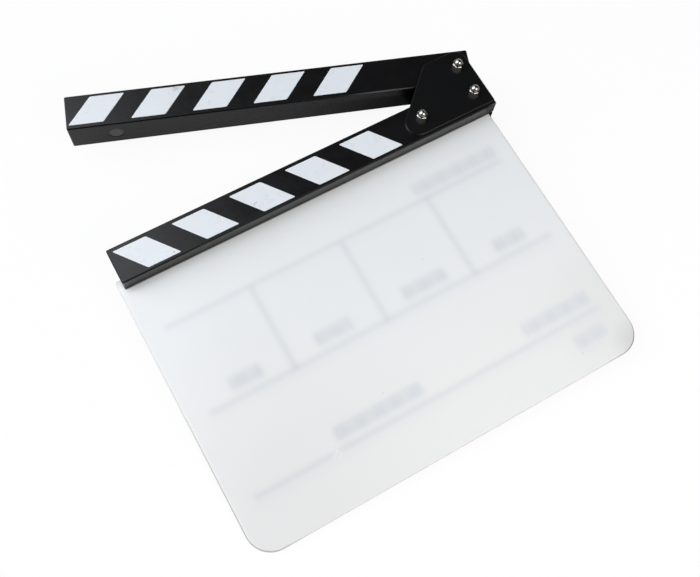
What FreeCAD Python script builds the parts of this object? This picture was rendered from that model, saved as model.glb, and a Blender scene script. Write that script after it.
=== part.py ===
import FreeCAD, Part
import math
import os

# Clapperboard: an acrylic writing board hung in a groove under two striped, hinged clap sticks.
# Millimetres. It lies flat with its back up: X runs along the sticks towards the hinge,
# Y from the board's bottom edge to the sticks, Z out of the back.
# The origin is the middle of the board's bottom edge, half way through its thickness.

# Writing board
board_width = 300.0
board_drop = 203.0            # bottom edge to the underside of the lower stick
board_thickness = 3.0
board_foot_radius = 18.0      # the two bottom corners
board_head_radius = 1.5       # the two corners in the groove
board_edge_chamfer = 0.4

# Clap sticks
lower_stick_length = 300.5
upper_stick_length = 298.5
stick_width = 27.0
stick_thickness = 26.0
stick_edge_chamfer = 0.7
hinge_overhang = 4.5          # sticks stand this far past the board's hinge side
groove_depth = 8.0
groove_clearance = 0.1
clap_gap = 0.25               # between the two sticks when shut
open_angle = 19.5             # between the two sticks as modelled, degrees

# Hinge plates
plate_thickness = 2.0
plate_margin = 2.0            # plate edge to stick edge, at the bottom and at the top
plate_end_inset = 0.8         # plate edge to the hinge end of the sticks
plate_toe = 14.5              # how far the toe reaches past the inner bolt
plate_toe_radius = 9.7
plate_flare_angle = 43.5      # slanting edge against X, degrees
plate_shoulder_radius = 4.0   # corner at the top of the slanting edge
plate_heel_radius = 9.0       # corner beside the pivot
plate_corner_radius = 1.5     # bottom corner at the hinge end
plate_edge_chamfer = 0.5

# Pivot and plate bolts
pivot_inset = 10.5            # pivot to the hinge end of the sticks
pivot_rise = 12.3             # pivot above the upper stick's clap face
outer_bolt_inset = 11.2       # outer plate bolt to the hinge end
bolt_spacing = 45.4           # outer to inner plate bolt
bolt_rise = 15.1              # plate bolts above the underside of the lower stick
bolt_diameter = 4.0
bolt_hole_clearance = 0.1     # radial
thread_clearance = 0.05       # radial, bolt in nut
thread_engagement = 5.0       # bolt length inside the nut
bolt_tip_chamfer = 0.5
head_overhang = 2.0           # head radius less shank radius
head_height = 3.1
head_round = 1.4
head_bands = 2                # turned bands that make up the head's round
recess_span = 4.4             # cross recess, tip to tip at the top of the head
recess_width = 1.2
recess_depth = 1.9
recess_taper = 0.55           # size of the recess floor against its mouth

# Domed cap nuts
dome_wall = 1.25              # dome radius less bolt radius
hex_land = 0.25               # half the across-flats less the dome radius
hex_height = 3.2
nut_height = 7.2
nut_tip_room = 0.5            # empty thread past the bolt's end
hex_chamfer_angle = 30.0
dome_bands = 4                # turned bands that make up the dome

# Pivot bush and washers
bush_wall = 0.95
bush_running_clearance = 0.05
washer_thickness = 0.5
washer_width = 4.0
washer_bore_clearance = 0.1
washer_face_clearance = 0.05

# Magnets
magnet_diameter = 11.0
magnet_thickness = 4.0
magnet_inset = 33.0           # centre to the free end of the shorter stick
magnet_recess = 0.1           # face below the wood
magnet_fit_clearance = 0.05
magnet_edge_chamfer = 0.4

# White stripes, lined up where the two sticks meet
stripe_start = 1.6            # free end of the shorter stick to the first stripe
stripe_pitch = 44.0
stripe_length = 24.5
stripe_slant = 37.7           # from square across the stick, degrees
stripe_inset = 2.4            # from the edge away from the other stick
stripe_clap_inset = 3.1       # from the edge that meets the other stick
stripe_thickness = 0.15
stripe_corner_cut = 0.6
stripe_plate_gap = 5.0        # least room between the last stripe and the hinge plate

# Places worked out from the sizes above
hinge_end = board_width / 2 + hinge_overhang
lower_free_end = hinge_end - lower_stick_length
upper_free_end = hinge_end - upper_stick_length
shared_free_end = max(lower_free_end, upper_free_end)
lower_bottom = board_drop
lower_top = lower_bottom + stick_width
upper_bottom = lower_top + clap_gap
upper_top = upper_bottom + stick_width
half_thickness = stick_thickness / 2
washer_room = washer_thickness + 2 * washer_face_clearance
upper_half_thickness = half_thickness - washer_room
bolt_radius = bolt_diameter / 2
pivot = FreeCAD.Vector(hinge_end - pivot_inset, upper_bottom + pivot_rise, 0)
outer_bolt = FreeCAD.Vector(hinge_end - outer_bolt_inset, lower_bottom + bolt_rise, 0)
inner_bolt = outer_bolt - FreeCAD.Vector(bolt_spacing, 0, 0)
plate_toe_end = inner_bolt.x - plate_toe
plate_outer_face = half_thickness + plate_thickness
through_margin = 1.0          # how far cutting tools run past a face
same_place = 1e-4             # two points closer than this are one

UP = FreeCAD.Vector(0, 0, 1)
ACROSS = FreeCAD.Vector(0, 1, 0)
ORIGIN = FreeCAD.Vector(0, 0, 0)


def box(x0, x1, y0, y1, z0, z1):
    """Block between two corners."""
    return Part.makeBox(x1 - x0, y1 - y0, z1 - z0, FreeCAD.Vector(x0, y0, z0))


def hole(place, radius):
    """Round tool along Z, longer than the hinge is thick."""
    reach = plate_outer_face + through_margin
    return Part.makeCylinder(radius, 2 * reach, FreeCAD.Vector(place.x, place.y, -reach), UP)


def upright_edges(solid):
    """Edges that run straight up, along Z."""
    found = []
    for edge in solid.Edges:
        run = edge.lastVertex().Point - edge.firstVertex().Point
        if abs(run.z) > same_place and math.hypot(run.x, run.y) < same_place:
            found.append(edge)
    return found


def upright_edges_at(solid, *places):
    """Edges along Z that stand at the given (x, y) places."""
    found = []
    for edge in upright_edges(solid):
        spot = edge.firstVertex().Point
        if any(math.hypot(spot.x - x, spot.y - y) < same_place for x, y in places):
            found.append(edge)
    return found


def rim_edges(solid, z):
    """Edges that lie wholly at height z."""
    return [edge for edge in solid.Edges
            if abs(edge.BoundBox.ZMin - z) < same_place and abs(edge.BoundBox.ZMax - z) < same_place]


def opened(shape):
    """Turn a piece of the upper stick from shut to the modelled opening."""
    swung = shape.copy()
    swung.rotate(pivot, UP, -open_angle)
    return swung


def to_front(shape):
    """Mirror a piece from the back of the sticks to their front."""
    return shape.mirror(ORIGIN, UP)


def make_board():
    """Acrylic sheet with large bottom corners; its top edge goes into the groove."""
    side = board_width / 2
    top = lower_bottom + groove_depth - groove_clearance
    half = board_thickness / 2
    sheet = box(-side, side, 0, top, -half, half)
    sheet = sheet.makeFillet(board_foot_radius, upright_edges_at(sheet, (-side, 0), (side, 0)))
    sheet = sheet.makeFillet(board_head_radius, upright_edges_at(sheet, (-side, top), (side, top)))
    return sheet.makeChamfer(board_edge_chamfer, rim_edges(sheet, half) + rim_edges(sheet, -half))


def magnet_place(clap_face, inward):
    """Centre of a magnet's face and the direction into its stick."""
    return FreeCAD.Vector(shared_free_end + magnet_inset, clap_face, 0), ACROSS * inward


def magnet_pocket(clap_face, inward):
    face, into = magnet_place(clap_face, inward)
    radius = magnet_diameter / 2 + magnet_fit_clearance
    return Part.makeCylinder(radius, magnet_recess + magnet_thickness, face, into)


def make_magnet(clap_face, inward):
    face, into = magnet_place(clap_face, inward)
    shown = face + into * magnet_recess
    disc = Part.makeCylinder(magnet_diameter / 2, magnet_thickness, shown, into)
    rim = [edge for edge in disc.Edges if abs(edge.BoundBox.Center.y - shown.y) < same_place]
    return disc.makeChamfer(magnet_edge_chamfer, rim)


def make_lower_stick():
    """Bar with eased edges, a groove for the board, bolt holes and a magnet pocket."""
    bar = box(lower_free_end, hinge_end, lower_bottom, lower_top, -half_thickness, half_thickness)
    bar = bar.makeChamfer(stick_edge_chamfer, bar.Edges)
    half_groove = board_thickness / 2 + groove_clearance
    groove = box(lower_free_end - through_margin, hinge_end + through_margin,
                 lower_bottom - through_margin, lower_bottom + groove_depth, -half_groove, half_groove)
    holes = [hole(place, bolt_radius + bolt_hole_clearance) for place in (outer_bolt, inner_bolt)]
    return bar.cut([groove, magnet_pocket(lower_top, -1)] + holes)


def make_upper_stick():
    """Bar whose lower hinge corner is turned to a heel about the pivot, so that it rolls clear."""
    bar = box(upper_free_end, hinge_end, upper_bottom, upper_top, -upper_half_thickness, upper_half_thickness)
    bar = bar.makeChamfer(stick_edge_chamfer, bar.Edges)
    corner = box(pivot.x, hinge_end + through_margin, upper_bottom - through_margin, pivot.y,
                 -half_thickness, half_thickness)
    outside_heel = corner.cut(hole(pivot, pivot_rise))
    bush_hole = hole(pivot, bolt_radius + thread_clearance + bush_wall + bush_running_clearance)
    return bar.cut([outside_heel, bush_hole, magnet_pocket(upper_bottom, 1)])


def make_back_plate():
    """Plate with a round toe, a slanting edge tangent to it and a rounded heel by the pivot."""
    bottom = lower_bottom + plate_margin
    top = upper_top - plate_margin
    end = hinge_end - plate_end_inset
    flare = math.radians(plate_flare_angle)
    toe = FreeCAD.Vector(plate_toe_end + plate_toe_radius, bottom + plate_toe_radius, half_thickness)

    def on_toe(angle):
        return toe + FreeCAD.Vector(math.cos(angle), math.sin(angle), 0) * plate_toe_radius

    toe_top = on_toe(flare + math.pi / 2)
    toe_left = on_toe(flare / 2 + math.pi)
    toe_bottom = on_toe(-math.pi / 2)
    corner = FreeCAD.Vector(end, bottom, half_thickness)
    heel = FreeCAD.Vector(end, top, half_thickness)
    shoulder = FreeCAD.Vector(toe_top.x + (top - toe_top.y) / math.tan(flare), top, half_thickness)
    outline = [Part.makeLine(toe_bottom, corner), Part.makeLine(corner, heel), Part.makeLine(heel, shoulder),
               Part.makeLine(shoulder, toe_top), Part.Arc(toe_top, toe_left, toe_bottom).toShape()]
    plate = Part.Face(Part.Wire(outline)).extrude(UP * plate_thickness)
    for place, radius in ((corner, plate_corner_radius), (heel, plate_heel_radius),
                          (shoulder, plate_shoulder_radius)):
        plate = plate.makeFillet(radius, upright_edges_at(plate, (place.x, place.y)))
    plate = plate.makeChamfer(plate_edge_chamfer, rim_edges(plate, plate_outer_face))
    holes = [hole(place, bolt_radius + bolt_hole_clearance) for place in (pivot, outer_bolt, inner_bolt)]
    return plate.cut(holes)


def quarter_round(middle, height, radius, rise, bands):
    """Points of a quarter round, from straight out to straight up, or down where rise is -1."""
    steps = [math.pi / 2 * k / bands for k in range(bands + 1)]
    return [(middle + radius * math.cos(angle), height + rise * radius * math.sin(angle)) for angle in steps]


def turned(points, place):
    """Solid of revolution about Z from (radius, height) points, set down at a place."""
    outline = [FreeCAD.Vector(radius, 0, height) for radius, height in points]
    solid = Part.Face(Part.makePolygon(outline + outline[:1])).revolve(ORIGIN, UP, 360)
    solid.translate(place)
    return solid


def cross_wire(size, height):
    """Plus-shaped outline, scaled by size, at a height."""
    tip = recess_span / 2 * size
    root = recess_width / 2 * size
    quarter = [(tip, -root), (tip, root), (root, root)]
    points = []
    for turn in range(4):
        angle = turn * math.pi / 2
        points += [FreeCAD.Vector(x * math.cos(angle) - y * math.sin(angle),
                                  x * math.sin(angle) + y * math.cos(angle), height) for x, y in quarter]
    return Part.makePolygon(points + points[:1])


def make_bolt(place):
    """Pan-head bolt, head on the front plate and tip inside the cap nut."""
    seat = -plate_outer_face
    head_radius = bolt_radius + head_overhang
    low = seat - head_height
    tip = plate_outer_face + thread_engagement
    rim = quarter_round(head_radius - head_round, low + head_round, head_round, -1, head_bands)
    bolt = turned([(0, low)] + rim[::-1] + [(head_radius, seat), (bolt_radius, seat),
                                            (bolt_radius, tip - bolt_tip_chamfer),
                                            (bolt_radius - bolt_tip_chamfer, tip), (0, tip)], place)
    recess = Part.makeLoft([cross_wire(1, low), cross_wire(recess_taper, low + recess_depth)], True, True)
    recess.translate(place)
    return bolt.cut(recess)


def make_cap_nut(place):
    """Hexagon with its upper corners chamfered under a dome, with a blind threaded hole."""
    dome = bolt_radius + dome_wall
    flat = dome + hex_land
    corner = flat / math.cos(math.pi / 6)
    slope = (corner - flat) * math.tan(math.radians(hex_chamfer_angle))
    seat = place + UP * plate_outer_face
    spots = [FreeCAD.Vector(corner * math.cos(k * math.pi / 3), corner * math.sin(k * math.pi / 3), 0)
             for k in range(7)]
    hexagon = Part.Face(Part.makePolygon(spots)).extrude(UP * hex_height)
    hexagon.translate(seat)
    chamfer = turned([(0, 0), (corner, 0), (corner, hex_height - slope), (flat, hex_height), (0, hex_height)],
                     seat)
    cap = turned([(0, 0), (dome, 0)] + quarter_round(0, nut_height - dome, dome, 1, dome_bands), seat)
    bore = Part.makeCylinder(bolt_radius + thread_clearance, thread_engagement + nut_tip_room, seat, UP)
    return hexagon.common(chamfer).fuse(cap).removeSplitter().cut(bore)


def make_ring(place, inner, outer, z0, z1):
    """Flat ring or tube about Z."""
    return turned([(inner, z0), (outer, z0), (outer, z1), (inner, z1)], place)


def make_stripe(clap_x, clap_y, far_y, face):
    """Slanting white stripe on the back face of a stick, from the clap edge to the far edge."""
    lean = abs(far_y - clap_y) * math.tan(math.radians(stripe_slant))
    corners = [(clap_x, clap_y), (clap_x + stripe_length, clap_y),
               (clap_x + stripe_length + lean, far_y), (clap_x + lean, far_y)]
    points = [FreeCAD.Vector(x, y, face) for x, y in corners]
    stripe = Part.Face(Part.makePolygon(points + points[:1])).extrude(UP * stripe_thickness)
    return stripe.makeChamfer(stripe_corner_cut, upright_edges(stripe))


def stripe_starts():
    """Places along X of every stripe that ends clear of the hinge plate."""
    lean = (stick_width - stripe_clap_inset - stripe_inset) * math.tan(math.radians(stripe_slant))
    first = shared_free_end + stripe_start
    room = plate_toe_end - stripe_plate_gap - first - stripe_length - lean
    return [first + k * stripe_pitch for k in range(1 + int(room // stripe_pitch))]


def make_pieces():
    """Every piece by name, in place."""
    back_plate = make_back_plate()
    pieces = {
        "writing_board": make_board(),
        "lower_stick": make_lower_stick(),
        "upper_stick": opened(make_upper_stick()),
        "hinge_plate_back": back_plate,
        "hinge_plate_front": to_front(back_plate),
        "upper_magnet": opened(make_magnet(upper_bottom, 1)),
        "lower_magnet": make_magnet(lower_top, -1),
    }
    for name, place in (("pivot", pivot), ("outer_plate", outer_bolt), ("inner_plate", inner_bolt)):
        pieces[name + "_bolt"] = make_bolt(place)
        pieces[name + "_cap_nut"] = make_cap_nut(place)

    bush_bore = bolt_radius + thread_clearance
    bush_radius = bush_bore + bush_wall
    pieces["pivot_bush"] = make_ring(pivot, bush_bore, bush_radius, -half_thickness, half_thickness)
    washer_bore = bush_radius + washer_bore_clearance
    washer_rim = washer_bore + washer_width
    washer_top = half_thickness - washer_face_clearance
    back_washer = make_ring(pivot, washer_bore, washer_rim, washer_top - washer_thickness, washer_top)
    pieces["pivot_washer_back"] = back_washer
    pieces["pivot_washer_front"] = to_front(back_washer)

    for number, start in enumerate(stripe_starts(), 1):
        lower = make_stripe(start, lower_top - stripe_clap_inset, lower_bottom + stripe_inset,
                            half_thickness)
        upper = opened(make_stripe(start, upper_bottom + stripe_clap_inset, upper_top - stripe_inset,
                                   upper_half_thickness))
        for stick, stripe in (("lower", lower), ("upper", upper)):
            pieces[f"{stick}_stripe_back_{number}"] = stripe
            pieces[f"{stick}_stripe_front_{number}"] = to_front(stripe)
    return pieces


os.makedirs("parts", exist_ok=True)
for node, shape in make_pieces().items():
    shape.exportStep(f"parts/{node}.step")
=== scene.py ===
import bpy
import math
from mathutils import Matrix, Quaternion, Vector


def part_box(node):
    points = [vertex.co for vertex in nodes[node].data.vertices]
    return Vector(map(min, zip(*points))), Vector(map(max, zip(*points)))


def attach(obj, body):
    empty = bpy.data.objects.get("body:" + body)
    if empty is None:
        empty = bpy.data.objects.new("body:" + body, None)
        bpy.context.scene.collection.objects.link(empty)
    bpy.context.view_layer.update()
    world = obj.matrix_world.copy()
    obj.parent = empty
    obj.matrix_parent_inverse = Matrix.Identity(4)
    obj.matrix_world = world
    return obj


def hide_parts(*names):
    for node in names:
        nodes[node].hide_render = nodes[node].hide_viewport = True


# Looks of a clapperboard that lies on its front, clap stick open.
# The frame is in metres; the sizes named here are in millimetres and are turned with MM.

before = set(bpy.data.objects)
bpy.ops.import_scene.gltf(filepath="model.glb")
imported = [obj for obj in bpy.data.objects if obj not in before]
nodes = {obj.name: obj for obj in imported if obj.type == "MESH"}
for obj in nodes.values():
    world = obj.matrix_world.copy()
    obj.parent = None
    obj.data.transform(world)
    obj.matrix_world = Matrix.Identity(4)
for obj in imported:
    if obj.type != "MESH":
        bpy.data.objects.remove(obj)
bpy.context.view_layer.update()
MM = 0.001

# Acrylic sheet
foot_radius = 18.0
head_radius = 1.5
rim_round = 0.7
rim_steps = 3
foot_steps = 14
head_steps = 4
sheet_cell = 1.5              # mesh spacing that carries the print's soft shadow

# Form printed on the sheet's front, from the middle of the bottom edge
line_left, line_right = -134.5, 137.0
line_rows = (165.2, 98.7, 36.5)
divider_columns = (-70.4, 1.0, 72.4)
line_width = 2.3
ink_depth = 0.02
ink_corner = 0.35

# Labels of the form, filled with plain bars: height of a row's middle, left and right end of each label
top_row, top_label = 174.8, (66.4, 135.9)
cell_row, cell_labels = 110.0, ((-114.3, -91.5), (-48.9, -22.3), (20.1, 53.3), (95.5, 119.9))
lower_row, lower_labels = 47.5, ((-69.4, -3.4), (79.4, 133.2))
foot_row, foot_label = 22.3, (106.6, 131.6)
label_height = 9.2
bar_width = 3.3
bar_gap = 1.4
bar_spread = 0.25             # how uneven the bars' widths are
bar_beat = 2.2

# Shadow of the print, seen through the sheet
print_blur = 1.6
blur_cut = 3                  # a mark so many blurs away adds nothing
echo_share = 0.3              # a second shadow, thrown on the floor
echo_drop = 4.5
echo_blur = 2.5

# Domed cap nuts
nut_segments = 72
hexagon_height = 3.2
hexagon_chamfer = 30.0        # degrees
hexagon_sixth = math.pi / 3   # angle that one side takes up
dome_radius = 3.15
dome_steps = 12
nut_edge = 0.15
nut_turns = {"pivot": 10.0, "outer_plate": 20.0, "inner_plate": 16.0}   # degrees
nut_shine = 0.1
bolt_shine = 0.2

# Clap stick
open_angle = 19.5             # degrees

# Marks of use, painted shadows and painted shade: where they are and how far they reach
# Paler grey along the sticks' edges around these spots
paler_upper_edge = (84.4, 252.6, 12.4)
paler_upper_reach = 34.0
paler_lower_corner = (154.0, 203.0, 12.5)
paler_lower_reach = 7.0
film_smudge = (-48.4, 322.4, 12.5)
smudge_reach = 4.5
haze_reach = 13.0             # fainter marks around the smudge
film_specks = ((-39.7, 214.1, 13.1), (-41.3, 213.4, 13.1), (-105.9, 207.4, 13.1))
film_speck_reach = 0.9
sheet_specks = ((45.6, 125.8, 1.5), (-27.7, 56.1, 1.5), (107.3, 14.2, 1.5))
sheet_speck_reach = 0.6
sheet_scuff = (-74.1, 36.1, 1.5)
scuff_reach = 6.0
# Painted shadow: the sheet and its rim darker towards the lower right corner
shadowed_corner = (146.0, 4.0, 0.0)
corner_shadow_reach = 22.0
corner_shadow_share = 0.55            # on the sheet's back; its rim has all of it
# Painted shade: the sheet's back darker towards its lower left corner
lower_left_shade_spot = (-150.0, 10.0, 1.5)
lower_left_shade_reach = 190.0
# Painted shade: the sheet's back darker towards its lower right corner
lower_right_shade_spot = (150.0, 25.0, 1.5)
lower_right_shade_reach = 75.0
# Painted shade on the rim, deepest near the free end's lower corner
free_rim_shade_spot = (-150.0, 20.0, 0.0)
free_rim_shade_reach = 150.0

# Tones that change along an axis, several of them painted light or shade: the axis, where the tone starts
# and where it is full
# Painted shade as lowered gloss: the lower stick's side towards the board, the upper stick's sides towards
# the hinge
lower_side_shade = ("Y", 206.0, 203.5)      # on the lower stick's side, towards the board
upper_side_shade = ("X", -20.0, 140.0)      # on the upper stick's sides, towards the hinge
side_shade_depth = ("Z", 10.0, 2.0)         # both leave the sticks' backs clean
lower_side_shade_share = 0.58
upper_side_shade_share = 0.9
foot_tone = ("Y", 150.0, 20.0)        # on the sheet's back
# Painted light: the sheet's back paler towards its head beside the stick
head_light_span = ("Y", 188.0, 203.0)
head_light_side = ("X", -148.0, -125.0)
# Painted shade: a dark line on the sheet along the groove, up to the stick's end
groove_shade = ("Y", 201.9, 203.1)
groove_end = ("X", -146.3, -145.7)
# Painted shade on the sheet's rim towards its free end and towards the hinge
free_shade_span = ("X", -110.0, -150.0)     # on the sheet's rim
hinge_shade_span = ("X", 100.0, 150.0)

# Shading
noise_low, noise_high = 0.3, 0.7      # most of a noise lies between these
grazing_start, grazing_full = 0.2, 0.5
even_facing = 0.5             # Layer Weight's blend that follows the angle evenly
edge_samples = 6
crease_angle = 28.0           # degrees
edge_from_upright = (0.1, 0.3)        # a normal's share of up, where an eased edge starts and is full
edge_to_level = (0.9, 0.99)           # and where it fades and ends
mix_first, mix_second, mix_result = 6, 7, 2      # sockets of a colour mix

# Camera
camera_place = (-150.23, -39.52, 605.75)
camera_aim = (-10.62, 130.94, 1.5)
camera_roll = 10.396          # degrees
camera_lens = 47.82
camera_sensor = 36.0
camera_near = 10.0

# Floor and room
floor_radius = 750.0
floor_segments = 96
floor_bounce = (0.5, 0.5, 0.5)
floor_white = (0.9, 0.9, 0.9)
floor_glow = 0.92             # share of plain white that the camera sees in the floor
room_glow = 0.985             # and in the room
mirror_glow = 0.03            # the same share in reflections
plain_white = (1.0, 1.0, 1.0)
room_light = (0.006, 0.006, 0.008)
wall_light = (0.6, 0.6, 0.61)
wall_dark = -0.5              # walls are dark below this share of +Y
wall_bright = 0.4             # and at their full light above this one
wall_top, wall_fade = 10.0, 28.0      # degrees above the floor

# Lamps
light_target = (0.0, 150.0, 0.0)
softboxes = {
    "main_softbox": {"direction": (-0.54, 0.36, 0.76), "distance": 2500.0, "radius": 1750.0,
                     "brightness": 2.15, "colour": (0.97, 0.99, 1.05)},
    "side_softbox": {"direction": (-0.77, 0.49, 0.41), "distance": 2000.0, "radius": 600.0,
                     "brightness": 2.8, "colour": (1.0, 1.0, 1.0)},
    "front_softbox": {"direction": (0.26, -0.70, 0.66), "distance": 1200.0, "radius": 520.0,
                      "brightness": 3.4, "colour": (1.03, 1.0, 0.95)},
}


def add_node(tree, kind, inputs=None, **settings):
    """New node with its settings. Each input is joined to a socket or set to a value."""
    node = tree.nodes.new(kind)
    for key, value in settings.items():
        setattr(node, key, value)
    for key, value in (inputs or {}).items():
        if isinstance(value, bpy.types.NodeSocket):
            tree.links.new(value, node.inputs[key])
        else:
            node.inputs[key].default_value = value
    return node


def maths(tree, operation, first, second=0.0):
    """Result of an arithmetic step on one or two values."""
    return add_node(tree, "ShaderNodeMath", {0: first, 1: second}, operation=operation).outputs[0]


def smooth_step(tree, value, low, high, to_low=0.0, to_high=1.0):
    """Smooth step of a value from one range to another."""
    return add_node(tree, "ShaderNodeMapRange", {
        "Value": value, "From Min": low, "From Max": high, "To Min": to_low, "To Max": to_high},
        interpolation_type="SMOOTHSTEP").outputs["Result"]


def mix_colours(tree, share, first, second):
    """Colour between two colours, each a socket or red, green and blue."""
    inputs = {0: share}
    for key, colour in ((mix_first, first), (mix_second, second)):
        inputs[key] = colour if isinstance(colour, bpy.types.NodeSocket) else (*colour, 1.0)
    return add_node(tree, "ShaderNodeMix", inputs, data_type="RGBA").outputs[mix_result]


class Look:
    """A procedural material, with short calls that add nodes and join them."""

    def __init__(self, name, uniform):
        self.material = bpy.data.materials.new(name)
        self.material.use_nodes = True
        self.tree = self.material.node_tree
        self.shader = self.tree.nodes["Principled BSDF"]
        for socket, value in uniform.items():
            self.shader.inputs[socket].default_value = value
        self.place = self.add("ShaderNodeTexCoord").outputs["Object"]

    def add(self, kind, inputs=None, **settings):
        return add_node(self.tree, kind, inputs, **settings)

    def feed(self, socket, value):
        self.tree.links.new(value, self.shader.inputs[socket])

    def noise(self, grain, detail=3.0, stretch=(1.0, 1.0, 1.0), turn=0.0):
        """Noise whose grains are about so many millimetres across, drawn out by stretch."""
        spot = self.add("ShaderNodeMapping", {
            "Vector": self.place, "Rotation": (0.0, 0.0, math.radians(turn)),
            "Scale": tuple(1.0 / s for s in stretch)}).outputs["Vector"]
        return self.add("ShaderNodeTexNoise", {
            "Vector": spot, "Scale": 1.0 / (grain * MM), "Detail": detail}).outputs["Fac"]

    def patches(self, grain, low, high, most, least=0.0, detail=3.0):
        """Share that rises from least to most where a noise passes from low to high."""
        return self.spread(self.noise(grain, detail), low, high, least, most)

    def spread(self, value, low, high, to_low, to_high):
        return smooth_step(self.tree, value, low, high, to_low, to_high)

    def between(self, share, none, full):
        """Value that goes from one at no share to another at full share."""
        return self.spread(share, 0.0, 1.0, none, full)

    def blend(self, share, first, second):
        return mix_colours(self.tree, share, first, second)

    def product(self, first, second):
        return maths(self.tree, "MULTIPLY", first, second)

    def near(self, spot, reach):
        """One at a spot given in millimetres, falling to nothing at reach."""
        away = self.add("ShaderNodeVectorMath", {0: self.place, 1: Vector(spot) * MM},
                        operation="DISTANCE")
        return self.spread(away.outputs["Value"], 0.0, reach * MM, 1.0, 0.0)

    def along(self, axis, start, full):
        """Nothing at start, rising smoothly to one at full, along an axis in millimetres."""
        place = self.add("ShaderNodeSeparateXYZ", {0: self.place}).outputs[axis]
        return self.spread(place, start * MM, full * MM, 0.0, 1.0)

    def grazing(self):
        """Nothing on faces seen from straight ahead, rising to one on faces seen at a shallow angle."""
        facing = self.add("ShaderNodeLayerWeight", {"Blend": even_facing}).outputs["Facing"]
        return self.spread(facing, grazing_start, grazing_full, 0.0, 1.0)

    def roughen(self, noise, least, most, top=noise_high):
        """Roughness that follows a noise."""
        self.feed("Roughness", self.spread(noise, noise_low, top, least, most))

    def relief(self, height, depth, strength, under=None):
        """Fine relief of a depth in millimetres, over rounded edges where under is given."""
        inputs = {"Height": height, "Distance": depth * MM, "Strength": strength}
        if under is not None:
            inputs["Normal"] = under
        self.feed("Normal", self.add("ShaderNodeBump", inputs).outputs["Normal"])

    def rounded(self, radius):
        """Shading of edges eased by a radius in millimetres."""
        bevel = self.add("ShaderNodeBevel", {"Radius": radius * MM}, samples=edge_samples)
        return bevel.outputs["Normal"]

    def eased(self, normal):
        """One on edges that lean between level and upright, nothing on flats."""
        height = self.add("ShaderNodeSeparateXYZ", {0: normal}).outputs["Z"]
        lean = maths(self.tree, "ABSOLUTE", height)
        off_upright = self.spread(lean, *edge_from_upright, 0.0, 1.0)
        off_level = self.spread(lean, *edge_to_level, 1.0, 0.0)
        return self.product(off_upright, off_level)


def painted_wood(name, turn, paler_spot, paler_reach, dust_and_shade, side_shade_share):
    """Satin black paint with a faint grain, dull edges and a paler stretch of edge; its gloss is lowered
    along one axis as painted shade.
    """
    deep, pale = (0.0024, 0.0025, 0.0028), (0.004, 0.0041, 0.0046)
    paler_edge_grey = (0.08, 0.08, 0.082)
    flat_gloss, edge_gloss = 0.5, 0.12
    look = Look(name, {"IOR": 1.5})
    mottle = look.noise(grain=14.0)
    fibre = look.noise(grain=0.7, detail=4.0, stretch=(30.0, 1.0, 1.0), turn=turn)
    peel = look.noise(grain=0.9, detail=2.0)
    normal = look.rounded(radius=0.8)
    edge = look.eased(normal)
    paler_edge = look.product(edge, look.near(paler_spot, paler_reach))
    # Painted shade: gloss lowered along the given axis, where the stick's side lies in shade
    side_shade = look.product(look.along(*dust_and_shade), look.along(*side_shade_depth))
    gloss = look.between(edge, flat_gloss, edge_gloss)
    gloss_kept = look.between(side_shade, 1.0, 1.0 - side_shade_share)
    look.feed("Base Color", look.blend(paler_edge, look.blend(mottle, deep, pale), paler_edge_grey))
    look.feed("Specular IOR Level", look.product(gloss, gloss_kept))
    look.roughen(mottle, least=0.25, most=0.29)
    look.relief(maths(look.tree, "ADD", fibre, peel), depth=0.02, strength=0.08, under=normal)
    return look.material


def coated_metal():
    """Semi-gloss black coating with a very fine powder texture."""
    deep, pale = (0.0016, 0.0018, 0.002), (0.0024, 0.0026, 0.0029)
    flat_gloss, edge_gloss = 0.4, 0.25
    look = Look("coated_metal", {"IOR": 1.5})
    powder = look.noise(grain=0.35, detail=2.0)
    normal = look.rounded(radius=0.25)
    look.feed("Base Color", look.blend(look.noise(grain=9.0), deep, pale))
    look.feed("Specular IOR Level", look.between(look.eased(normal), flat_gloss, edge_gloss))
    look.roughen(powder, least=0.33, most=0.37)
    look.relief(powder, depth=0.006, strength=0.2, under=normal)
    return look.material


def nickel(name, shine):
    """Bright plating with fine turning marks and slightly duller patches."""
    bright, dull = (0.52, 0.505, 0.465), (0.41, 0.395, 0.36)
    look = Look(name, {"Metallic": 1.0})
    patch = look.noise(grain=1.6, detail=4.0)
    look.feed("Base Color", look.blend(patch, bright, dull))
    look.roughen(patch, least=shine, most=shine + 0.12, top=0.8)
    look.relief(look.noise(grain=0.25, stretch=(6.0, 6.0, 1.0)), depth=0.004, strength=0.12)
    return look.material


def bare_metal(name, deep, pale, dull):
    """Bare metal with a mottled, rubbed face."""
    look = Look(name, {"Metallic": 0.75})
    patch = look.noise(grain=2.2, detail=5.0)
    look.feed("Base Color", look.blend(patch, deep, pale))
    look.roughen(patch, least=dull, most=dull + 0.15)
    look.relief(look.noise(grain=0.4), depth=0.01, strength=0.2)
    return look.material


def magnet_grey():
    return bare_metal("magnet_grey", deep=(0.125, 0.124, 0.12), pale=(0.175, 0.173, 0.168), dull=0.5)


def bush_steel():
    return bare_metal("bush_steel", deep=(0.35, 0.35, 0.36), pale=(0.5, 0.5, 0.5), dull=0.3)


def nylon():
    deep, pale = (0.55, 0.54, 0.50), (0.68, 0.67, 0.63)
    look = Look("nylon", {"IOR": 1.53})
    patch = look.noise(grain=1.5)
    look.feed("Base Color", look.blend(patch, deep, pale))
    look.roughen(patch, least=0.4, most=0.55)
    return look.material


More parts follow.
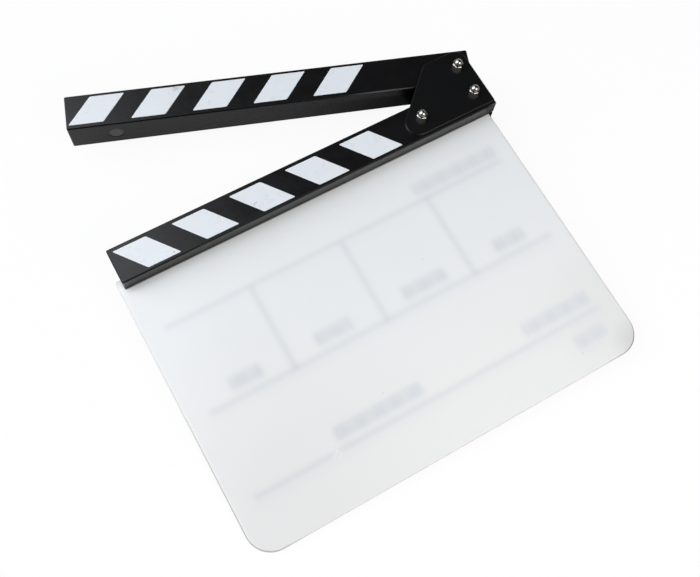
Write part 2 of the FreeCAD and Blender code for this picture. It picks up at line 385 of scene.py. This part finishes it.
def white_vinyl():
    """Cool white film with faint clouding, a handled smudge and a few specks."""
    cool, pale = (0.735, 0.785, 0.825), (0.765, 0.81, 0.845)
    hazed, smudged, specked = (0.56, 0.56, 0.54), (0.47, 0.45, 0.39), (0.27, 0.27, 0.21)
    look = Look("white_vinyl", {"IOR": 1.65})
    cloud = look.noise(grain=11.0, detail=4.0)
    haze = look.product(look.near(film_smudge, haze_reach),
                        look.patches(grain=1.1, low=0.45, high=0.6, most=0.5))
    smudge = look.product(look.near(film_smudge, smudge_reach),
                          look.patches(grain=1.8, low=0.3, high=0.6, most=0.8, least=0.2))
    film = look.blend(cloud, cool, pale)
    film = look.blend(haze, film, hazed)
    film = look.blend(smudge, film, smudged)
    for speck in film_specks:
        film = look.blend(look.near(speck, film_speck_reach), film, specked)
    look.feed("Base Color", film)
    look.roughen(cloud, least=0.26, most=0.34)
    look.relief(look.noise(grain=1.2), depth=0.01, strength=0.06)
    return look.material


def sheet_tone(look, cloud):
    """Milky white that changes a little towards the sheet's foot, with painted light towards its head and
    painted shade towards its lower corners.
    """
    cool, pale = (0.80, 0.828, 0.842), (0.815, 0.838, 0.846)
    warm_foot, head_painted_light = (0.825, 0.837, 0.828), (0.89, 0.91, 0.912)
    lower_left_shade, lower_right_shade = (0.755, 0.76, 0.753), (0.775, 0.785, 0.78)
    tone = look.blend(cloud, cool, pale)
    tone = look.blend(look.along(*foot_tone), tone, warm_foot)
    # Painted light: paler towards the head, inside the stick's shadow
    tone = look.blend(look.product(look.along(*head_light_side), look.along(*head_light_span)), tone, head_painted_light)
    # Painted shade towards the lower left corner
    tone = look.blend(look.near(lower_left_shade_spot, lower_left_shade_reach), tone, lower_left_shade)
    # Painted shade towards the lower right corner
    return look.blend(look.near(lower_right_shade_spot, lower_right_shade_reach), tone, lower_right_shade)


def sheet_marks(look, tone):
    """The sheet's tone with a scuff, a painted shadow at one corner, painted shade along the groove,
    specks and a fine dusting on it.
    """
    scuffed, corner_shadow = (0.88, 0.88, 0.88), (0.55, 0.55, 0.56)
    groove_shade_tone, dust_and_shade = (0.16, 0.16, 0.16), (0.5, 0.5, 0.5)
    scuff = look.product(look.near(sheet_scuff, scuff_reach),
                         look.patches(grain=0.9, low=0.52, high=0.62, most=0.9, detail=2.0))
    tone = look.blend(scuff, tone, scuffed)
    # Painted shadow at the lower right corner
    tone = look.blend(look.product(look.near(shadowed_corner, corner_shadow_reach), corner_shadow_share), tone, corner_shadow)
    # Painted shade: dark line along the groove where the stick meets the sheet
    tone = look.blend(look.product(look.along(*groove_end), look.along(*groove_shade)), tone, groove_shade_tone)
    for speck in sheet_specks:
        tone = look.blend(look.near(speck, sheet_speck_reach), tone, dust_and_shade)
    return look.blend(look.patches(grain=1.1, low=0.80, high=0.85, most=0.35, detail=1.0), tone, dust_and_shade)


def milky_acrylic():
    """Milky sheet whose back shows the soft, bluish shadow of what is printed on its front."""
    cool_shade, grey_shade = (0.685, 0.721, 0.749), (0.60, 0.63, 0.65)
    facing_gloss, grazing_gloss = 0.5, 0.02
    look = Look("milky_acrylic", {"IOR": 1.49})
    cloud = look.noise(grain=45.0, detail=2.0)
    shade = look.add("ShaderNodeAttribute", attribute_name="print_shade").outputs["Fac"]
    # The print's shadow is greyer in the painted shade of the lower left corner
    shade_tone = look.blend(look.near(lower_left_shade_spot, lower_left_shade_reach), cool_shade, grey_shade)
    look.feed("Base Color", sheet_marks(look, look.blend(shade, sheet_tone(look, cloud), shade_tone)))
    look.feed("Specular IOR Level", look.between(look.grazing(), facing_gloss, grazing_gloss))
    look.roughen(cloud, least=0.16, most=0.24)
    return look.material


def sawn_acrylic():
    """Edge of the sheet: sawn, matt, a little yellowed, with painted shade towards its sides and a painted
    shadow at one corner.
    """
    cream, pale = (0.81, 0.805, 0.775), (0.86, 0.855, 0.825)
    hinge_rim_shade, free_rim_shade = (0.57, 0.56, 0.535), (0.70, 0.69, 0.655)
    deep_rim_shade, corner_shadow = (0.44, 0.43, 0.40), (0.12, 0.07, 0.03)
    look = Look("sawn_acrylic", {"IOR": 1.49})
    marks = look.noise(grain=0.6, stretch=(1.0, 1.0, 8.0))
    free_end = look.along(*free_shade_span)
    edge = look.blend(marks, cream, pale)
    # Painted shade on the rim towards the hinge and the free end, deepest near its lower corner
    edge = look.blend(look.along(*hinge_shade_span), edge, hinge_rim_shade)
    edge = look.blend(free_end, edge, free_rim_shade)
    edge = look.blend(look.product(free_end, look.near(free_rim_shade_spot, free_rim_shade_reach)), edge, deep_rim_shade)
    look.feed("Base Color", look.blend(look.near(shadowed_corner, corner_shadow_reach), edge, corner_shadow))
    look.roughen(marks, least=0.45, most=0.6)
    look.relief(marks, depth=0.02, strength=0.3)
    return look.material


def printing_ink():
    fresh, worn = (0.012, 0.013, 0.016), (0.03, 0.031, 0.036)
    look = Look("printing_ink", {"IOR": 1.5})
    wear = look.noise(grain=2.0, detail=4.0)
    look.feed("Base Color", look.blend(wear, fresh, worn))
    look.roughen(wear, least=0.45, most=0.6)
    return look.material


def add_piece(name, points, faces, materials, body, stands_for=()):
    """Mesh piece from points in millimetres, riding on a body."""
    mesh = bpy.data.meshes.new(name)
    mesh.from_pydata([Vector(point) * MM for point in points], [], faces)
    mesh.validate()
    for material in materials:
        mesh.materials.append(material)
    mesh.shade_smooth()
    mesh.set_sharp_from_angle(angle=math.radians(crease_angle))
    piece = bpy.data.objects.new(name, mesh)
    bpy.context.scene.collection.objects.link(piece)
    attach(piece, body)
    if stands_for:
        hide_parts(*stands_for)
    return piece


def circle_angles(count):
    return [2 * math.pi * k / count for k in range(count)]


def band(first, second):
    """Faces that join two rings of as many points."""
    faces = []
    for k in range(len(first)):
        nxt = (k + 1) % len(first)
        faces.append((first[nxt], first[k], second[k], second[nxt]))
    return faces


def label_bars(left, right):
    """Left and right of the bars that fill a label, a little uneven in width."""
    count = round((right - left + bar_gap) / (bar_width + bar_gap))
    pitch = (right - left + bar_gap) / count
    bars = []
    for k in range(count):
        centre = left + (k + 0.5) * pitch - bar_gap / 2
        half = (pitch - bar_gap) / 2 * (1 + bar_spread * math.sin(left + bar_beat * k))
        bars.append((centre - half, centre + half))
    return bars


def print_marks():
    """Left, right, bottom and top of every line and label bar of the form."""
    marks = []
    for row in line_rows:
        marks.append((line_left, line_right, row - line_width / 2, row + line_width / 2))
    for column in divider_columns:
        marks.append((column - line_width / 2, column + line_width / 2, line_rows[1], line_rows[0]))
    for middle, labels in ((top_row, [top_label]), (cell_row, cell_labels),
                           (lower_row, lower_labels), (foot_row, [foot_label])):
        for ends in labels:
            for left, right in label_bars(*ends):
                marks.append((left, right, middle - label_height / 2, middle + label_height / 2))
    return marks


def blurred(x, y, marks, blur):
    """How far a point is covered by marks whose edges are softened."""
    reach = blur_cut * blur
    scale = blur * math.sqrt(2)
    total = 0.0
    for left, right, bottom, top in marks:
        if left - reach < x < right + reach and bottom - reach < y < top + reach:
            across = math.erf((x - left) / scale) - math.erf((x - right) / scale)
            along = math.erf((y - bottom) / scale) - math.erf((y - top) / scale)
            total += across * along / 4
    return total


def print_shade(x, y, marks):
    """Share of the print's two shadows at a point of the sheet, in millimetres."""
    echo = echo_share * blurred(x, y + echo_drop, marks, echo_blur)
    return min(blurred(x, y, marks, print_blur) + echo, 1.0)


def sheet_rows(inset):
    """Height and half width of each row of the sheet's outline, pulled in by inset."""
    low, high = (corner.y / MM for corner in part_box("writing_board"))
    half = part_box("writing_board")[1].x / MM - inset
    foot = foot_radius - inset
    head = head_radius - inset
    rows = []
    for k in range(foot_steps + 1):
        angle = math.pi / 2 * k / foot_steps
        rows.append((low + inset + foot * (1 - math.cos(angle)), half - foot * (1 - math.sin(angle))))
    start, end = rows[-1][0], high - inset - head
    steps = round((end - start) / sheet_cell)
    rows += [(start + (end - start) * k / steps, half) for k in range(1, steps)]
    for k in range(head_steps, -1, -1):
        angle = math.pi / 2 * k / head_steps
        rows.append((high - inset - head * (1 - math.cos(angle)), half - head * (1 - math.sin(angle))))
    return rows


def sheet_back(rows, columns, thick):
    """Points of the sheet's back, row by row, the print's shade at each, and the faces between them."""
    marks = print_marks()
    points = []
    shades = []
    for y, half in rows:
        for k in range(columns + 1):
            x = half * (2 * k / columns - 1)
            points.append((x, y, thick))
            shades.append(print_shade(x, y, marks))
    wide = columns + 1
    faces = []
    for r in range(len(rows) - 1):
        for k in range(columns):
            first = r * wide + k
            faces.append((first, first + 1, first + wide + 1, first + wide))
    return points, shades, faces


def sheet_border(last, columns):
    """Row and column of each outer point of the sheet's back, once around."""
    around = [(0, k) for k in range(columns)] + [(r, columns) for r in range(last)]
    around += [(last, k) for k in range(columns, 0, -1)] + [(r, 0) for r in range(last, 0, -1)]
    return around


def rim_rings(around, columns, thick):
    """Rings of points that round the sheet's edge, from its back to its front."""
    # A ring's pull in from the outline and drop from its face, as shares of rim_round, and the face's side
    turns = [math.pi / 2 * k / rim_steps for k in range(1, rim_steps + 1)]
    profile = [(1 - math.sin(a), 1 - math.cos(a), 1) for a in turns]
    profile += [(1 - math.sin(a), 1 - math.cos(a), -1) for a in reversed(turns)]
    profile.append((1.0, 0.0, -1))
    rings = []
    for pull, drop, side in profile:
        outline = sheet_rows(rim_round * pull)
        height = side * (thick - rim_round * drop)
        ring = []
        for r, k in around:
            y, half = outline[r]
            ring.append((half * (2 * k / columns - 1), y, height))
        rings.append(ring)
    return rings


def make_sheet():
    """Milky sheet with a fine back face, rounded sawn edges and a flat front."""
    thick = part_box("writing_board")[1].z / MM
    columns = round(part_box("writing_board")[1].x * 2 / MM / sheet_cell)
    rows = sheet_rows(rim_round)
    points, shades, faces = sheet_back(rows, columns, thick)
    back_faces = len(faces)
    around = sheet_border(len(rows) - 1, columns)
    ring = [r * (columns + 1) + k for r, k in around]
    for fresh_points in rim_rings(around, columns, thick):
        fresh = list(range(len(points), len(points) + len(around)))
        points += fresh_points
        faces += band(ring, fresh)
        ring = fresh
    rim_faces = len(faces)
    faces.append(tuple(reversed(ring)))
    shades += [0.0] * (len(points) - len(shades))

    sheet = add_piece("milky_sheet", points, faces, [milky_acrylic(), sawn_acrylic()],
                      "slate", ["writing_board"])
    for index in range(back_faces, rim_faces):
        sheet.data.polygons[index].material_index = 1
    sheet.data.attributes.new("print_shade", "FLOAT", "POINT").data.foreach_set("value", shades)


def rounded_bar(left, right, bottom, top):
    """Outline of a printed mark, with its corners rounded."""
    outline = []
    for x, y, first in ((right, top, 0), (left, top, 90), (left, bottom, 180), (right, bottom, 270)):
        inner_x = x - math.copysign(ink_corner, x - (left + right) / 2)
        inner_y = y - math.copysign(ink_corner, y - (bottom + top) / 2)
        for step in (0, 45, 90):
            angle = math.radians(first + step)
            outline.append((inner_x + ink_corner * math.cos(angle),
                            inner_y + ink_corner * math.sin(angle)))
    return outline


def make_print():
    """The form's lines and label bars as a thin coat of ink on the sheet's front."""
    face = -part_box("writing_board")[1].z / MM
    points = []
    faces = []
    for mark in print_marks():
        outline = rounded_bar(*mark)
        start, count = len(points), len(outline)
        inner = range(start, start + count)
        outer = range(start + count, start + 2 * count)
        points += [(x, y, face) for x, y in outline]
        points += [(x, y, face - ink_depth) for x, y in outline]
        faces += [tuple(inner), tuple(reversed(outer))]
        faces += band(inner, outer)
    add_piece("front_print", points, faces, [printing_ink()], "slate")


def nut_rings(flat, height):
    """Radius and height of the nut's points, ring by ring from its foot to its dome."""
    slope = math.tan(math.radians(hexagon_chamfer))
    hexagon = []
    for angle in circle_angles(nut_segments):
        off_middle = (angle + hexagon_sixth / 2) % hexagon_sixth - hexagon_sixth / 2
        hexagon.append(flat / math.cos(off_middle))
    rings = [
        [(r - nut_edge, 0.0) for r in hexagon],
        [(r, nut_edge) for r in hexagon],
        [(r, hexagon_height - (r - flat) * slope - nut_edge) for r in hexagon],
        [(r - nut_edge, hexagon_height - (r - flat) * slope) for r in hexagon],
        [(flat - nut_edge, hexagon_height)] * nut_segments,
        [(dome_radius, hexagon_height)] * nut_segments,
        [(dome_radius, height - dome_radius)] * nut_segments,
    ]
    for k in range(1, dome_steps):
        angle = math.pi / 2 * k / dome_steps
        spot = (dome_radius * math.cos(angle), height - dome_radius * (1 - math.sin(angle)))
        rings.append([spot] * nut_segments)
    return rings


def make_cap_nut(name, turn, material):
    """Hexagon with chamfered corners under a smooth dome, standing where its CAD nut stands."""
    low, high = (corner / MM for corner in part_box(name + "_cap_nut"))
    middle = (low + high) / 2
    flat = (high.x - low.x) / 2 * math.cos(hexagon_sixth / 2)
    points = []
    faces = [tuple(reversed(range(nut_segments)))]
    below = None
    for ring in nut_rings(flat, high.z - low.z):
        level = range(len(points), len(points) + nut_segments)
        for angle, (radius, rise) in zip(circle_angles(nut_segments), ring):
            spin = angle + math.radians(turn)
            x, y = middle.x + radius * math.cos(spin), middle.y + radius * math.sin(spin)
            points.append((x, y, low.z + rise))
        if below is not None:
            faces += band(level, below)
        below = level
    crown = len(points)
    points.append((middle.x, middle.y, high.z))
    faces += [(below[k], below[(k + 1) % nut_segments], crown) for k in range(nut_segments)]
    add_piece(name + "_dome_nut", points, faces, [material], "slate",
              [name + "_cap_nut"])


def dress(material, *starts):
    """Give a material to every CAD node whose name starts so."""
    for name, node in nodes.items():
        if name.startswith(starts):
            for holder in node.material_slots:
                holder.material = material


def resting_plane():
    """Middle and upward direction of the plane under the three points that the clapperboard rests on."""
    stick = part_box("lower_stick")[0]
    bolt = [(a + b) / 2 for a, b in zip(*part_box("inner_plate_bolt"))]
    head = Vector((bolt[0], bolt[1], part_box("inner_plate_bolt")[0].z))
    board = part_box("writing_board")[0]
    foot = Vector((board.x + foot_radius * MM, board.y, board.z))
    up = (head - foot).cross(stick - foot).normalized()
    lowest = min(up.dot(vertex.co) for node in nodes.values() for vertex in node.data.vertices)
    middle = (head + foot + stick) / 3
    return middle + up * (lowest - up.dot(middle)), up


def make_floor():
    """Round, pale floor under the clapperboard."""
    middle, up = resting_plane()
    side = up.orthogonal().normalized()
    ahead = up.cross(side)
    rim = []
    for angle in circle_angles(floor_segments):
        rim.append(middle + (side * math.cos(angle) + ahead * math.sin(angle)) * floor_radius * MM)
    mesh = bpy.data.meshes.new("floor")
    mesh.from_pydata(rim, [], [tuple(range(floor_segments))])
    floor = bpy.data.objects.new("floor", mesh)
    bpy.context.scene.collection.objects.link(floor)
    mesh.materials.append(white_floor())


def seen_share(tree, camera_share):
    """Share of plain white in what the camera and mirrors see, nothing in the object's light."""
    path = add_node(tree, "ShaderNodeLightPath")
    share = 0.0
    for kind, part in (("Is Camera Ray", camera_share), ("Is Glossy Ray", mirror_glow),
                       ("Is Transmission Ray", mirror_glow)):
        share = maths(tree, "MAXIMUM", share, maths(tree, "MULTIPLY", path.outputs[kind], part))
    return share


def white_floor():
    """White floor that camera and mirrors see closer to pure white, with the shadow kept."""
    material = bpy.data.materials.new("white_floor")
    material.use_nodes = True
    tree = material.node_tree
    tree.nodes.remove(tree.nodes["Principled BSDF"])
    seen = add_node(tree, "ShaderNodeLightPath").outputs["Is Camera Ray"]
    paint = mix_colours(tree, seen, floor_bounce, floor_white)
    diffuse = add_node(tree, "ShaderNodeBsdfDiffuse", {"Color": paint}).outputs[0]
    glow = add_node(tree, "ShaderNodeEmission").outputs[0]
    surface = add_node(tree, "ShaderNodeMixShader", {
        0: seen_share(tree, floor_glow), 1: diffuse, 2: glow})
    tree.links.new(surface.outputs[0], tree.nodes["Material Output"].inputs["Surface"])
    return material


def make_room():
    """Dim room with a pale wall behind the sticks, which the camera sees as white."""
    world = bpy.data.worlds.new("studio")
    bpy.context.scene.world = world
    world.use_nodes = True
    tree = world.node_tree
    ray = add_node(tree, "ShaderNodeTexCoord").outputs["Generated"]
    toward = add_node(tree, "ShaderNodeSeparateXYZ", {0: ray}).outputs
    wall_end, dark_start = (math.sin(math.radians(height)) for height in (wall_top, wall_fade))
    above = smooth_step(tree, toward["Z"], wall_end, dark_start)
    beside = smooth_step(tree, toward["Y"], wall_bright, wall_dark)
    lit = mix_colours(tree, maths(tree, "MAXIMUM", above, beside), wall_light, room_light)
    seen = mix_colours(tree, seen_share(tree, room_glow), lit, plain_white)
    tree.links.new(seen, tree.nodes["Background"].inputs["Color"])


def make_softbox(name, direction, distance, radius, brightness, colour):
    """Round soft lamp that faces the clapperboard; brightness 1 mirrors as white."""
    lamp = bpy.data.lights.new(name, "AREA")
    lamp.shape = "DISK"
    lamp.size = 2 * radius * MM
    lamp.energy = brightness * (math.pi * radius * MM) ** 2
    lamp.color = colour
    holder = bpy.data.objects.new(name, lamp)
    aim = Vector(direction).normalized()
    holder.location = (Vector(light_target) + aim * distance) * MM
    holder.rotation_mode = "QUATERNION"
    holder.rotation_quaternion = aim.to_track_quat("Z", "Y")
    holder.visible_camera = False
    bpy.context.scene.collection.objects.link(holder)


def make_camera():
    camera = bpy.data.cameras.new("camera")
    camera.sensor_width = camera_sensor
    camera.sensor_fit = "HORIZONTAL"
    camera.lens = camera_lens
    camera.clip_start = camera_near * MM
    holder = bpy.data.objects.new("camera", camera)
    place, aim = Vector(camera_place) * MM, Vector(camera_aim) * MM
    level = (aim - place).to_track_quat("-Z", "Y")
    holder.location = place
    holder.rotation_mode = "QUATERNION"
    holder.rotation_quaternion = level @ Quaternion((0.0, 0.0, 1.0), math.radians(camera_roll))
    bpy.context.scene.collection.objects.link(holder)
    bpy.context.scene.camera = holder


bpy.context.scene.view_settings.view_transform = "Standard"
dress(painted_wood("painted_lower_stick", 0.0, paler_lower_corner, paler_lower_reach,
                   lower_side_shade, lower_side_shade_share), "lower_stick")
dress(painted_wood("painted_upper_stick", -open_angle, paler_upper_edge, paler_upper_reach,
                   upper_side_shade, upper_side_shade_share), "upper_stick")
dress(coated_metal(), "hinge_plate")
dress(white_vinyl(), "lower_stripe", "upper_stripe")
dress(nickel("bolt_nickel", bolt_shine), "pivot_bolt", "outer_plate_bolt", "inner_plate_bolt")
dress(magnet_grey(), "upper_magnet", "lower_magnet")
dress(bush_steel(), "pivot_bush")
dress(nylon(), "pivot_washer")
make_sheet()
make_print()
nut_plating = nickel("nut_nickel", nut_shine)
for nut, nut_turn in nut_turns.items():
    make_cap_nut(nut, nut_turn, nut_plating)
make_floor()
make_room()
for softbox, settings in softboxes.items():
    make_softbox(softbox, **settings)
make_camera()
